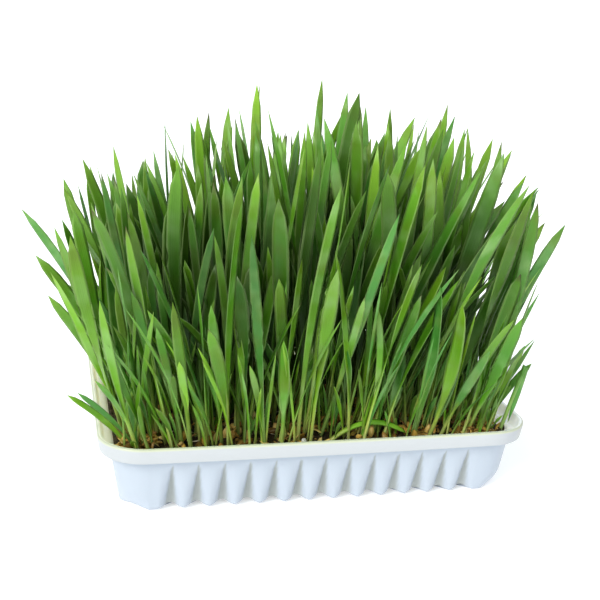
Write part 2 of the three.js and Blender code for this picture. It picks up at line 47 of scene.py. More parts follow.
# Colours of the tray
# The body's tint is the plastic's bluish white, made cooler and darker than the collar's as painted shade
BODY_SHADED_TINT = (0.495, 0.55, 0.625)
PAINTED_SHADE_BAND_TINT = (0.44, 0.50, 0.58)
COLLAR_TINT = (0.545, 0.565, 0.585)
LIP_GRASS_REFLECTION_TINT = (0.60, 0.63, 0.46)
RIGHT_END_TINT = (0.46, 0.44, 0.33)
RIGHT_END_REACH = 9.0
FLUTE_SOIL_AND_SHADE_TINT = (0.375, 0.40, 0.39)
LEFT_SHADE = (0.86, 0.865, 0.87)
RIGHT_SHADE = (0.84, 0.85, 0.88)
CLOUD_TINT = (0.5, 0.52, 0.52)

# Camera, fitted to the tray's rim, collar, flutes and foot: place in mm, angles in radians
CAMERA_PLACE = (-109.4, -425.6, 188.0)
CAMERA_YAW = 0.255
CAMERA_PITCH = 0.257
CAMERA_ROLL = 0.052
CAMERA_LENS = 58.59
SENSOR_WIDTH = 36.0

# Light: the way the lamp shines, and the side from which the sky gives least
LAMP_WAY = (1.1, 0.9, -1.0)
LAMP_POWER = 1.35
LAMP_SPREAD = 24.0
DIM_SIDE = (0.92, -0.4, 0.0)
SKY_STRENGTH = 1.16
SKY_STRENGTH_LEAST = 0.5
FLOOR_REACH = 60000.0
FLOOR_DROP = 0.02

# Tray
TRAY_LENGTH = 187.0
TRAY_WIDTH = 137.0
RIM_TOP = 31.0
RIM_RADIUS = 18.9
SIDE_BULGE = 1.1
COLLAR_HEIGHT = 6.6
COLLAR_TAPER = 0.9
LIP_WIDTH = 2.0
LEDGE_TOP = 25.8
LEDGE_FALL = 0.4
BODY_INSET_TOP = 5.2
BODY_INSET_LOW = 8.9
BODY_RADIUS_TOP = 15.1
BODY_RADIUS_LOW = 11.4
FOOT_ROUNDING = 2.2
FOOT_HEIGHT = 2.7
WALL = 1.3
FLOOR = 2.4
FLOOR_ROUNDING = 1.6
FLOOR_ROUNDING_INSET = 1.4
LEAST_RADIUS = 4.0
FLAT_SHARE = 0.9
CORNER_FOOT = 6.0
CORNER_FOOT_HEIGHT = 9.0
FOOT_LIFT = 1.6
FLUTE_PITCH = 10.7
FLUTES_LONG = 13
FLUTES_SHORT = 8
FLUTE_TOP = 21.8
FLUTE_DEPTH = 3.0
FLUTE_DEEPENING = 1.6
FLUTE_HALF_WIDTH_TOP = 0.25
FLUTE_HALF_WIDTH_LOW = 2.5
FLUTE_FADE = 0.08
RIB_SWELL = 1.0
RIB_ROUNDING = 0.75
RIB_FADE = 0.25
CORNER_STEPS = 14
LONG_STEPS = 240
SHORT_STEPS = 160

# Sod, with a short wave of lumps and a long one in radians per mm, and fine crumbly relief
GAP = 0.35
SOD_BOTTOM = 18.9
SOD_TOP = 24.4
SOD_EDGE_DROP = 0.6
SOD_MOUND = 1.6
SOD_ROUGHNESS = 0.7
LUMP_ALONG = 0.31
LUMP_ACROSS = 0.37
LUMP_START_ALONG = 1.7
LUMP_START_ACROSS = 0.4
LONG_LUMP_ALONG = 0.13
LONG_LUMP_ACROSS = 0.19
LONG_LUMP_SHARE = 0.6
CRUMBLE_SIZE = 3.5
CRUMBLE_HEIGHT = 0.9
SPOT_CORNER = 5

# Kernels, and those that the growing roots have pushed upright, as x and y
KERNEL_COUNT = 560
KERNEL_HALF_LENGTH = 3.6
KERNEL_HALF_WIDTH = 1.6
KERNEL_HALF_HEIGHT = 1.45
CREASE_WIDTH = 0.22
CREASE_DEPTH = 0.28
STEEP_SHARE = 0.4
STEEP_TILT = 2.4
FLAT_TILT = 0.8
UPRIGHT_KERNELS = [
    (-80, -27), (-3, -36), (8, -44), (18, -30), (32, -46), (36, -42), (60, -44), (-40, -46),
    (-58, -50), (-50, -54), (-32, -53), (-18, -46), (22, -54), (48, -54), (68, -51),
]
UPRIGHT_TILT = 1.25
UPRIGHT_LIFT = 2.2

# Husks: how many lie anywhere, and heaps of them as x, y, reach and number
HUSK_COUNT = 420
HUSK_HEAPS = [
    (-77, -50, 9, 90), (-24, -36, 5, 26), (-12, -52, 6, 30),
    (9, -40, 6, 14), (46, -52, 7, 24), (70, -52, 9, 60),
]
HUSK_THICKNESS = 0.18

# Blades: the rule that the solid blades follow, with its names
BLADE_COUNT = 306
BLADE_TRIES = 40
BLADE_SEED = 20417
ROOT_SPACING = 4.6
ROOT_EDGE = 10.5
ROOT_CORNER = 5
ROOT_DEPTH = 3.2
BLADE_CLEARANCE = 0.9
BLADE_LENGTH = 131.0
BLADE_LENGTH_SPREAD = 23.0
SHORTER_LEFT = 0.27
SHORTER_RIGHT = 0.2
SHORTER_FRONT = 0.45
LATE_SHARE = 0.16
LATE_LENGTH = 0.72
BLADE_WIDTH = 5.3
BLADE_WIDTH_SPREAD = 1.9
STEM_WIDTH = 1.7
SLIMMER_LEFT = 0.6
NECK_LEAST = 0.08
NECK_MOST = 0.34
OPENING = 0.42
CLOSING_LEAST = 0.12
CLOSING_MOST = 0.36
CLOSING_POWER = 2.5
TIP_POWER = 0.8
TURN_START = 0.35
TURN = 0.45
TWIST = 2.6
FACING = -0.25
FACING_BIAS = 0.3
LEAN_LEFT = 0.36
LEAN_RIGHT = 0.36
LEAN_FRONT = 0.24
LEAN_BACK = 0.2
LEAN_SCATTER = 0.44
FAN_POWER = 1.2
FIRST_LEAN = 0.75
TIP_SWAY = 0.5
CURL_LEAST = 0.3
CURL_MOST = 1.8
CURLED_SHARE = 0.14
CURLED_MORE = 1.5
REACH_LEFT = -119.0
REACH_RIGHT = 119.0
REACH_RIGHT_MIDDLE = 126.0
REACH_RIGHT_SLOPE = 0.5
REACH_FRONT = -84.0
REACH_BACK = 88.0
CROWN_TOP = 174
CROWN_LEFT_X = -97
CROWN_LEFT_Z = 137
CROWN_LEFT_SLOPE = 0.6
CROWN_LEFT_STEEP = 2.2
CROWN_RIGHT_SUM = 247
CROWN_RIGHT_SLOPE = 0.4
STRAY_UPRIGHT = 0.5
STRAY_OUTWARD = 0.2
STRAY_TWIST = 0.6
STRAY_NECK = 0.15
STRAY_CLOSING = 0.2
SLICE_STEP = 8.0
SLICE_COUNT = 19
SLICE_SAMPLES = 16

# Finish of every leaf, and where the late leaves keep within
SHEATH_MORE = 0.06
SHEATH_THICKNESS = 1.5
LEAF_THICKNESS = 0.28
LEAF_FOLD = 0.17
FOLD_POWER = 1.3
STAND_SIDE = 88.0
STAND_SLOPE = 0.22
STAND_FRONT = 80.0
LATE_TURN = 1.2

# How far in from the stand's outside a leaf gets its full painted shade, low down and higher up
DEEP_LOW = 52.0
DEEP_HIGH = 27.0
DEEP_RISE = 50.0
STAND_TOP = 145.0

HALF_LENGTH = TRAY_LENGTH / 2
HALF_WIDTH = TRAY_WIDTH / 2
COLLAR_BOTTOM = RIM_TOP - COLLAR_HEIGHT
LEDGE_FOOT = LEDGE_TOP - LEDGE_FALL
CAVITY_INSET_LOW = BODY_INSET_LOW + FLUTE_DEPTH + WALL
CAVITY_INSET_TOP = BODY_INSET_TOP + WALL
FIELD_X = HALF_LENGTH - ROOT_EDGE
FIELD_Y = HALF_WIDTH - ROOT_EDGE


def mix(a, b, t):
    return a + (b - a) * t


def clamp01(t):
    return np.clip(t, 0.0, 1.0)


def smooth(t):
    t = clamp01(t)
    return t * t * (3 - 2 * t)


def seeded_random(seed):
    """The same repeatable stream of numbers as the solids use."""
    state = seed & 0xFFFFFFFF

    def draw():
        nonlocal state
        state = (state + 0x6D2B79F5) & 0xFFFFFFFF
        t = state
        t = ((t ^ (t >> 15)) * (t | 1)) & 0xFFFFFFFF
        t ^= (t + (((t ^ (t >> 7)) * (t | 61)) & 0xFFFFFFFF)) & 0xFFFFFFFF
        return ((t ^ (t >> 14)) & 0xFFFFFFFF) / 4294967296

    return draw


def build_mesh(name, points, faces, material, point_values=None, smooth_faces=True):
    """A mesh object from points in mm and faces, with optional named values on its points."""
    mesh = bpy.data.meshes.new(name)
    mesh.from_pydata((np.asarray(points) * MM).tolist(), [], faces)
    for key, values in (point_values or {}).items():
        layer = mesh.attributes.new(key, "FLOAT", "POINT")
        layer.data.foreach_set("value", np.asarray(values, dtype=np.float32).ravel())
    mesh.polygons.foreach_set("use_smooth", [smooth_faces] * len(mesh.polygons))
    mesh.materials.append(material)
    mesh.update()
    thing = bpy.data.objects.new(name, mesh)
    scene.collection.objects.link(thing)
    return thing


# Materials

class Nodes:
    """A short way to write the nodes of a material or a world."""

    def __init__(self, owner):
        self.owner = owner
        owner.use_nodes = True
        self.tree = owner.node_tree
        self.tree.nodes.clear()

    def put(self, socket, value):
        if isinstance(value, bpy.types.NodeSocket):
            self.tree.links.new(value, socket)
        else:
            socket.default_value = value

    def add(self, kind, values=None, **settings):
        node = self.tree.nodes.new(kind)
        for key, value in settings.items():
            setattr(node, key, value)
        for key, value in (values or {}).items():
            self.put(node.inputs[key], value)
        return node

    def ramp(self, value, stops):
        node = self.add("ShaderNodeValToRGB", {"Fac": value})
        while len(node.color_ramp.elements) < len(stops):
            node.color_ramp.elements.new(0.5)
        for element, (place, colour) in zip(node.color_ramp.elements, stops):
            element.position = place
            element.color = (*colour, 1.0)
        return node.outputs["Color"]

    def fade(self, value, low, high, first=0.0, last=1.0):
        """Grey that goes from first to last while the value goes from low to high."""
        return self.ramp(value, [(low, (first,) * 3), (high, (last,) * 3)])

    def spread(self, value, low, high, first=0.0, last=1.0):
        """A number that goes from first to last while the value goes from low to high."""
        ends = {"From Min": low, "From Max": high, "To Min": first, "To Max": last}
        return self.add("ShaderNodeMapRange", {"Value": value, **ends}).outputs["Result"]

    def place(self, axis, low, high):
        """Share of the way between two places in mm along one axis of the object."""
        split = self.add("ShaderNodeSeparateXYZ", {0: self.add("ShaderNodeTexCoord").outputs["Object"]})
        return self.spread(split.outputs[axis], low * MM, high * MM)

    def noise(self, scale, detail=3.0, roughness=0.5):
        vector = self.add("ShaderNodeTexCoord").outputs["Object"]
        values = {"Scale": scale, "Detail": detail, "Roughness": roughness, "Vector": vector}
        return self.add("ShaderNodeTexNoise", values).outputs["Fac"]

    def value(self, name):
        return self.add("ShaderNodeAttribute", attribute_name=name).outputs["Fac"]

    def blend(self, share, a, b, how="MIX"):
        node = self.add("ShaderNodeMix", data_type="RGBA", blend_type=how)
        self.put(node.inputs[0], share)
        for index, colour in ((6, a), (7, b)):
            self.put(node.inputs[index], (*colour, 1.0) if isinstance(colour, tuple) else colour)
        return node.outputs[2]

    def maths(self, how, a, b=0.0, c=0.0):
        return self.add("ShaderNodeMath", {0: a, 1: b, 2: c}, operation=how).outputs[0]

    def bump(self, height, strength, distance, over=None):
        values = {"Height": height, "Strength": strength, "Distance": distance * MM}
        if over is not None:
            values["Normal"] = over
        return self.add("ShaderNodeBump", values).outputs["Normal"]

    def principled(self, values):
        return self.add("ShaderNodeBsdfPrincipled", values).outputs["BSDF"]

    def finish(self, shader, output="ShaderNodeOutputMaterial"):
        self.add(output, {"Surface": shader})
        return self.owner


def material_nodes(name):
    return Nodes(bpy.data.materials.new(name))


def white_plastic(name, glow, colour_of):
    """Semi-gloss white plastic. Light that falls on the outside glows through the inner wall."""
    n = material_nodes(name)
    grain = n.noise(900.0, 2.0)
    rounded = n.bump(n.value("rib"), 1.0, RIB_ROUNDING)
    return n.finish(n.principled({
        "Base Color": n.blend(n.maths("MULTIPLY", n.noise(28.0, 2.0), 0.12), colour_of(n), CLOUD_TINT),
        "Roughness": n.spread(grain, 0.0, 1.0, 0.3, 0.42),
        "Subsurface Weight": glow,
        "Subsurface Radius": (1.1, 1.0, 0.8),
        "Subsurface Scale": 0.012,
        "Normal": n.bump(grain, 0.05, 0.1, rounded),
    }))


def outside_colour(n):
    """Warm white collar, and a body cooler and darker as painted shade, with a painted shade band
    under the collar, a lip tinted as a painted reflection of the grass, painted shade at both ends, beige
    towards the right end, and flutes darkened both by the dark soil behind the thin wall and by painted
    shade."""
    colour = n.ramp(n.place("Z", 0.0, RIM_TOP), [
        (0.0, BODY_SHADED_TINT),
        (0.66, BODY_SHADED_TINT),
        # a painted shade band under the collar's overhang
        (0.75, PAINTED_SHADE_BAND_TINT),
        (0.782, PAINTED_SHADE_BAND_TINT),
        (0.792, COLLAR_TINT),
        (0.965, COLLAR_TINT),
        # the lip's top yellowish green: a painted reflection of the grass
        (0.985, LIP_GRASS_REFLECTION_TINT),
    ])
    # beige and darker towards the right end
    right_end = n.fade(n.place("X", HALF_LENGTH - RIGHT_END_REACH, HALF_LENGTH), 0.0, 1.0, 0.0, 0.9)
    # painted shade at both ends of the tray
    ends = n.ramp(n.place("X", -HALF_LENGTH, HALF_LENGTH), [
        (0.0, LEFT_SHADE),
        (0.13, WHITE),
        (0.86, WHITE),
        (1.0, RIGHT_SHADE),
    ])
    colour = n.blend(1.0, n.blend(right_end, colour, RIGHT_END_TINT), ends, "MULTIPLY")
    # flutes darker: the dark soil behind the thin wall shows through, and painted shade lies in the grooves
    return n.blend(n.value("flute"), colour, FLUTE_SOIL_AND_SHADE_TINT)


def inside_colour(n):
    """Cream and yellowish towards the left, painted glow of light through the wall and painted reflection of
    the grass; bluish white on the right.
    """
    return n.ramp(n.place("X", -HALF_LENGTH, HALF_LENGTH), [
        (0.0, (0.80, 0.82, 0.62)),
        (0.12, (0.72, 0.76, 0.46)),
        (0.9, (0.74, 0.78, 0.62)),
        (1.0, (0.74, 0.80, 0.88)),
    ])


def moist_soil():
    n = material_nodes("moist_soil")
    lumps = n.noise(420.0, 4.0, 0.65)
    fibres = n.noise(1500.0, 3.0, 0.6)
    return n.finish(n.principled({
        "Base Color": n.ramp(lumps, [
            (0.32, (0.018, 0.013, 0.006)),
            (0.55, (0.075, 0.052, 0.02)),
            (0.75, (0.16, 0.10, 0.05)),
        ]),
        "Roughness": n.fade(fibres, 0.35, 0.6, 0.35, 0.9),
        "Normal": n.bump(n.maths("ADD", lumps, fibres), 0.8, 0.8),
    }))


def seed_skin():
    """Golden to brown by kernel, darker at the germ's end."""
    n = material_nodes("seed_skin")
    base = n.ramp(n.value("shade"), [
        (0.0, (0.15, 0.09, 0.025)),
        (0.4, (0.38, 0.22, 0.05)),
        (0.75, (0.62, 0.40, 0.09)),
        (1.0, (0.84, 0.66, 0.28)),
    ])
    tips = n.ramp(n.value("along"), [
        (0.0, (0.25, 0.15, 0.05)),
        (0.2, WHITE),
        (0.85, WHITE),
        (1.0, (0.8, 0.7, 0.4)),
    ])
    return n.finish(n.principled({
        "Base Color": n.blend(0.6, base, tips, "MULTIPLY"),
        "Roughness": 0.42,
        "Subsurface Weight": 0.1,
        "Subsurface Scale": 0.001,
        "Normal": n.bump(n.noise(900.0, 3.0), 0.3, 0.2),
    }))


def pale_root():
    n = material_nodes("pale_root")
    colour = n.ramp(n.noise(700.0, 3.0), [(0.3, (0.42, 0.34, 0.20)), (0.7, (0.78, 0.72, 0.55))])
    return n.finish(n.principled({"Base Color": colour, "Roughness": 0.6}))


def white_grain():
    n = material_nodes("white_grain")
    pores = n.noise(1600.0, 3.0)
    return n.finish(n.principled({
        "Base Color": n.ramp(pores, [(0.3, (0.55, 0.55, 0.5)), (0.6, (0.86, 0.86, 0.83))]),
        "Roughness": 0.8,
        "Normal": n.bump(pores, 0.6, 0.4),
    }))


def leaf_green(n, along, shade):
    """Pale at the foot, green above, and cooler or warmer, bluish or olive in places, and pale in places as
    waxy bloom and painted highlight.
    """
    cool = n.ramp(along, [
        (0.0, (0.88, 0.90, 0.42)),
        (0.13, (0.58, 0.72, 0.20)),
        (0.32, (0.13, 0.37, 0.022)),
        (0.7, (0.085, 0.30, 0.03)),
        (1.0, (0.15, 0.40, 0.045)),
    ])
    warm = n.ramp(along, [
        (0.0, (0.95, 0.93, 0.48)),
        (0.13, (0.66, 0.74, 0.21)),
        (0.32, (0.26, 0.52, 0.02)),
        (0.7, (0.20, 0.46, 0.02)),
        (1.0, (0.30, 0.55, 0.04)),
    ])
    colour = n.blend(n.fade(shade, 0.12, 0.9), cool, warm)
    bluish = n.fade(shade, 0.08, 0.14, 0.6, 0.0)
    colour = n.blend(bluish, colour, (0.11, 0.35, 0.09))
    olive = n.fade(n.noise(60.0, 2.0), 0.48, 0.68, 0.0, 0.55)
    colour = n.blend(olive, colour, (0.19, 0.27, 0.02))
    # pale patches: partly the leaf's waxy bloom, partly a painted highlight
    bloom_and_highlight = n.fade(n.noise(75.0, 2.0), 0.5, 0.72, 0.0, 0.5)
    return n.blend(bloom_and_highlight, colour, (0.39, 0.62, 0.27))


def grass_leaf():
    """Leaf green by place along the blade and by blade, with painted shade inside the stand,
    veins, pale edges as a painted highlight, and some dry tips, letting light through."""
    n = material_nodes("grass_leaf")
    along = n.value("along")
    across = n.value("across")
    tone = n.ramp(n.value("tone"), [
        (0.0, (0.50, 0.54, 0.40)),
        (0.4, (0.82, 0.85, 0.74)),
        (1.0, (1.15, 1.12, 1.1)),
    ])
    colour = n.blend(1.0, leaf_green(n, along, n.value("shade")), tone, "MULTIPLY")
    # painted shade on leaves deep inside the stand
    painted_inner_shade = n.ramp(n.value("inside"), [(0.0, WHITE), (1.0, (0.26, 0.33, 0.06))])
    colour = n.blend(1.0, colour, painted_inner_shade, "MULTIPLY")
    # pale leaf edges: a painted highlight
    edge = n.maths("POWER", n.maths("ABSOLUTE", across), 6.0)
    colour = n.blend(n.maths("MULTIPLY", edge, 0.5), colour, (0.55, 0.72, 0.32))
    dry = n.maths("MULTIPLY", n.fade(along, 0.95, 0.995), n.value("dry"))
    colour = n.blend(dry, colour, (0.13, 0.10, 0.055))
    veins = n.maths("SINE", n.maths("MULTIPLY", across, 22.0))
    normal = n.bump(n.maths("MULTIPLY_ADD", veins, 0.5, n.noise(500.0, 2.0)), 0.25, 0.08)
    skin = n.principled({
        "Base Color": colour,
        "Roughness": 0.38,
        "Specular IOR Level": 0.5,
        "Coat Weight": 0.2,
        "Coat Roughness": 0.3,
        "Normal": normal,
    })
    glow = n.blend(0.35, colour, (0.42, 0.66, 0.06))
    through = n.add("ShaderNodeBsdfTranslucent", {"Color": glow, "Normal": normal}).outputs["BSDF"]
    return n.finish(n.add("ShaderNodeMixShader", {0: 0.22, 1: skin, 2: through}).outputs["Shader"])


# Tray

def bowed(x, y, z):
    """The long sides bow outwards a little under the weight of wet soil."""
    bow = SIDE_BULGE / HALF_WIDTH * np.maximum(0, 1 - (x / HALF_LENGTH) ** 2)
    return np.column_stack([x, y * (1 + bow), z])


def body_inset(z):
    return mix(BODY_INSET_LOW, BODY_INSET_TOP, (z - FOOT_HEIGHT) / (COLLAR_BOTTOM - FOOT_HEIGHT))


def body_radius(z):
    return mix(BODY_RADIUS_LOW, BODY_RADIUS_TOP, (z - FOOT_HEIGHT) / (COLLAR_BOTTOM - FOOT_HEIGHT))


def cavity_inset(z):
    return mix(CAVITY_INSET_LOW, CAVITY_INSET_TOP, (z - FOOT_HEIGHT) / (LEDGE_FOOT - FOOT_HEIGHT))


def cavity_radius(z):
    return body_radius(z) - (cavity_inset(z) - body_inset(z))


def off_flute(along, flutes):
    """Distance along a side to the nearest flute's middle."""
    reach = (flutes - 1) / 2
    nearest = np.clip(np.round(along / FLUTE_PITCH + reach % 1) - reach % 1, -reach, reach)
    return np.abs(along - nearest * FLUTE_PITCH)


def flute_drop(z):
    """0 at the flutes' top, 1 at the foot."""
    return float(clamp01((FLUTE_TOP - z) / (FLUTE_TOP - FOOT_HEIGHT)))


def flute_half_width(drop):
    return mix(FLUTE_HALF_WIDTH_TOP, FLUTE_HALF_WIDTH_LOW, drop)


def from_rib_middle(off, half):
    """0 in the middle of a rib, 1 at its edges and inside the flutes."""
    return clamp01((FLUTE_PITCH / 2 - off) / (FLUTE_PITCH / 2 - half))


def flute_depth(along, flutes, z):
    """How far the wall is drawn in at a place along a side, at a height: a sharp-edged
    groove that widens downwards, and between grooves a rib that swells a little."""
    drop = flute_drop(z)
    if drop <= 0:
        return np.zeros_like(along)
    half = flute_half_width(drop)
    deep = FLUTE_DEPTH * (1 - (1 - drop) ** FLUTE_DEEPENING)
    off = off_flute(along, flutes)
    edge = RIB_SWELL * drop
    rib = edge * from_rib_middle(off, half) ** 2
    groove = edge + (deep - edge) * (1 - clamp01(off / half) ** 3)
    return np.where(off < half, groove, rib)


def foot_lift(along, flutes, z):
    """How far the foot's edge arches up between the ribs."""
    lift = FOOT_LIFT * clamp01(1 - z / FOOT_HEIGHT)
    return lift * np.sin(math.pi * clamp01(0.5 - off_flute(along, flutes) / FLUTE_PITCH))


def flute_mark(along, flutes, z):
    """1 inside a flute, 0 on the ribs."""
    drop = flute_drop(z)
    within = 1 - clamp01(off_flute(along, flutes) / flute_half_width(drop)) ** 4
    return within * smooth(drop / FLUTE_FADE)


def rib_round(along, flutes, z):
    """0 along a rib's middle, falling to -1 at its edges and inside the flutes."""
    drop = flute_drop(z)
    aside = from_rib_middle(off_flute(along, flutes), flute_half_width(drop))
    return -aside ** 2 * smooth(drop / RIB_FADE)


def side_run(reach, steps):
    return np.linspace(-reach, reach, steps + 1)[1:-1]


def ring_marks(mark, inset, radius, z, fluted):
    """One mark of each point of an outline, in the same order."""
    corner = np.zeros(CORNER_STEPS + 1)
    long_side = (HALF_LENGTH, LONG_STEPS, FLUTES_LONG)
    short_side = (HALF_WIDTH, SHORT_STEPS, FLUTES_SHORT)
    sides = []
    for half, steps, flutes in (long_side, short_side):
        run = side_run(half - inset - radius, steps)
        sides += [corner, mark(run, flutes, z) if fluted else 0 * run]
    return np.concatenate(sides + sides)


def outline(inset, radius, z, fluted=False):
    """Rounded rectangle at one height, anticlockwise, with or without the flutes."""
    x0 = HALF_LENGTH - inset
    y0 = HALF_WIDTH - inset
    angles = np.linspace(0, math.pi / 2, CORNER_STEPS + 1)
    low = clamp01(1 - z / CORNER_FOOT_HEIGHT) if fluted else 0
    drawn_in = CORNER_FOOT * (1 - math.sqrt(1 - low * low)) * np.sin(2 * angles)

    def corner(sx, sy, quarter):
        turn = angles + quarter * math.pi / 2
        x = sx * (x0 - radius) + (radius - drawn_in) * np.cos(turn)
        y = sy * (y0 - radius) + (radius - drawn_in) * np.sin(turn)
        return x, y, 0 * turn

    def side(reach, steps, flutes):
        """Places along a side, how far its wall is drawn in and how far its foot is lifted."""
        run = side_run(reach - radius, steps)
        if not fluted:
            return run, 0 * run, 0 * run
        return run, flute_depth(run, flutes, z), foot_lift(run, flutes, z)

    long_run, long_sunk, long_lift = side(x0, LONG_STEPS, FLUTES_LONG)
    short_run, short_sunk, short_lift = side(y0, SHORT_STEPS, FLUTES_SHORT)
    x, y, up = (np.concatenate(part) for part in zip(
        corner(1, 1, 0),
        (-long_run, y0 - long_sunk, long_lift),
        corner(-1, 1, 1),
        (-x0 + short_sunk, -short_run, short_lift),
        corner(-1, -1, 2),
        (long_run, -y0 + long_sunk, long_lift),
        corner(1, -1, 3),
        (x0 - short_sunk, short_run, short_lift),
    ))
    return bowed(x, y, z + up)


def loft(rings):
    """Quads between rings of equal point count, and one flat face on each end."""
    count = len(rings[0])
    faces = []
    for level in range(len(rings) - 1):
        a = level * count + np.arange(count)
        b = level * count + (np.arange(count) + 1) % count
        faces.append(np.column_stack([a, b, b + count, a + count]))
    last = (len(rings) - 1) * count
    ends = [list(range(count - 1, -1, -1)), list(range(last, last + count))]
    return np.concatenate(rings), np.concatenate(faces).tolist() + ends


def make_tray(outside, inside):
    rings = []
    marks = {"flute": [], "rib": []}

    def add_ring(inset, radius, z, fluted):
        rings.append(outline(inset, radius, z, fluted))
        marks["flute"].append(ring_marks(flute_mark, inset, radius, z, fluted))
        marks["rib"].append(ring_marks(rib_round, inset, radius, z, fluted))

    def add_profile(profile):
        for inset, z in profile:
            radius = RIM_RADIUS - inset if z > COLLAR_BOTTOM - 0.2 else cavity_radius(z)
            add_ring(inset, max(LEAST_RADIUS, radius), z, False)

    add_ring(BODY_INSET_LOW + FOOT_ROUNDING, BODY_RADIUS_LOW - FOOT_ROUNDING, 0.0, True)
    rings[0] = rings[0] * [FLAT_SHARE, FLAT_SHARE, 0]
    for turn in np.linspace(0, math.pi / 2, 7):
        sunk = FOOT_ROUNDING * (1 - math.sin(turn))
        add_ring(BODY_INSET_LOW + sunk, BODY_RADIUS_LOW - sunk, FOOT_HEIGHT * (1 - math.cos(turn)), True)
    for z in np.linspace(FOOT_HEIGHT + 0.8, FLUTE_TOP, 26):
        add_ring(body_inset(z), body_radius(z), z, True)
    shoulder = COLLAR_BOTTOM - 0.05
    add_profile([
        (body_inset(23.4), 23.4),
        (BODY_INSET_TOP - 0.05, shoulder - 0.35),
        (BODY_INSET_TOP - 0.35, shoulder),
        (COLLAR_TAPER + 0.6, shoulder),
        (COLLAR_TAPER + 0.18, shoulder + 0.14),
        (COLLAR_TAPER, shoulder + 0.55),
        (mix(COLLAR_TAPER, 0.05, 0.5), mix(shoulder + 0.55, RIM_TOP - 0.9, 0.5)),
        (0.05, RIM_TOP - 0.9),
        (0.12, RIM_TOP - 0.42),
        (0.35, RIM_TOP - 0.12),
    ])
    lip_level = len(rings)
    low = FLOOR + FLOOR_ROUNDING
    add_profile([
        (0.75, RIM_TOP),
        (LIP_WIDTH - 0.6, RIM_TOP),
        (LIP_WIDTH - 0.2, RIM_TOP - 0.12),
        (LIP_WIDTH + 0.05, RIM_TOP - 0.5),
        (LIP_WIDTH + 1.2, LEDGE_TOP + 0.5),
        (LIP_WIDTH + 1.5, LEDGE_TOP + 0.1),
        (LIP_WIDTH + 1.9, LEDGE_TOP - 0.05),
        (CAVITY_INSET_TOP - 0.4, LEDGE_FOOT + 0.05),
        (CAVITY_INSET_TOP, LEDGE_FOOT - 0.3),
        (cavity_inset(20.0), 20.0),
        (cavity_inset(low), low),
        (cavity_inset(low) + FLOOR_ROUNDING_INSET, FLOOR),
    ])
    points, faces = loft(rings)
    values = {name: np.concatenate(parts) for name, parts in marks.items()}
    tray = build_mesh("tray_shell", points, faces, outside, values)
    tray.data.materials.append(inside)
    around = len(rings[0])
    for polygon in tray.data.polygons[lip_level * around:(len(rings) - 1) * around]:
        polygon.material_index = 1
    return tray


# Sod, crumbs, seed and roots

def sod_height(x, y):
    """Height of the sod's surface: a low mound with lumps."""
    edge = np.maximum(np.abs(x) / HALF_LENGTH, np.abs(y) / HALF_WIDTH)
    short = np.sin(x * LUMP_ALONG + LUMP_START_ALONG) * np.cos(y * LUMP_ACROSS + LUMP_START_ACROSS)
    lumps = short + LONG_LUMP_SHARE * np.sin(x * LONG_LUMP_ALONG - y * LONG_LUMP_ACROSS)
    return SOD_TOP + SOD_MOUND * (1 - edge * edge) + SOD_ROUGHNESS * lumps * (1 - edge ** 4)


def crumble(x, y):
    spot = Vector((x, y, 3.0)) / CRUMBLE_SIZE
    return CRUMBLE_HEIGHT * noise.fractal(spot, 0.8, 2.1, 4, noise_basis="PERLIN_ORIGINAL")


def make_sod(material):
    def wall(level, z):
        return outline(cavity_inset(level) + GAP, cavity_radius(level) - GAP, z)[::2]

    rim = wall(SOD_TOP, SOD_TOP - SOD_EDGE_DROP)
    rings = [wall(SOD_BOTTOM, SOD_BOTTOM), rim]
    for share in np.concatenate([np.linspace(0.992, 0.5, 70), np.linspace(0.49, 0.02, 40)]):
        ring = rim.copy()
        ring[:, :2] *= share
        ring[:, 2] = sod_height(ring[:, 0], ring[:, 1])
        ring[:, 2] += [crumble(x, y) for x, y in ring[:, :2]]
        rings.append(ring)
    points, faces = loft(rings)
    return build_mesh("sod", points, faces, material)


def scatter_spots(count, seed, edge):
    """Places over the sod, at least edge from the rim, and the draw that goes on after them."""
    draw = seeded_random(seed)
    spots = []
    while len(spots) < count:
        x = (2 * draw() - 1) * (HALF_LENGTH - edge)
        y = (2 * draw() - 1) * (HALF_WIDTH - edge)
        if abs(x) + abs(y) < HALF_LENGTH + HALF_WIDTH - 2 * edge - SPOT_CORNER:
            spots.append((x, y))
    return spots, draw


def tube_faces(rings, sides):
    """Quads round a tube of so many rings, and its two ends."""
    faces = []
    for i in range(rings - 1):
        for k in range(sides):
            nxt = (k + 1) % sides
            faces.append([i * sides + k, i * sides + nxt, (i + 1) * sides + nxt, (i + 1) * sides + k])
    last = (rings - 1) * sides
    return faces + [list(range(sides - 1, -1, -1)), list(range(last, last + sides))]


def unit_ball(rings, sides):
    """Points and faces of a unit ball with its poles on X."""
    points = []
    for i in range(rings + 1):
        turn = math.pi * (0.02 + 0.96 * i / rings)
        for k in range(sides):
            spin = FULL_TURN * k / sides
            points.append((-math.cos(turn), math.sin(turn) * math.cos(spin), math.sin(turn) * math.sin(spin)))
    return np.array(points), tube_faces(rings + 1, sides)


def turned(points, spin, tilt, roll=0.0):
    matrix = Matrix.Rotation(spin, 3, "Z") @ Matrix.Rotation(tilt, 3, "Y") @ Matrix.Rotation(roll, 3, "X")
    return points @ np.array(matrix).T


def build_repeats(name, parts, part_faces, material, point_values=None, smooth_faces=True):
    """One mesh of many parts that all have the same faces."""
    count = len(parts[0])
    faces = [[i + n * count for i in face] for n in range(len(parts)) for face in part_faces]
    return build_mesh(name, np.concatenate(parts), faces, material, point_values, smooth_faces)


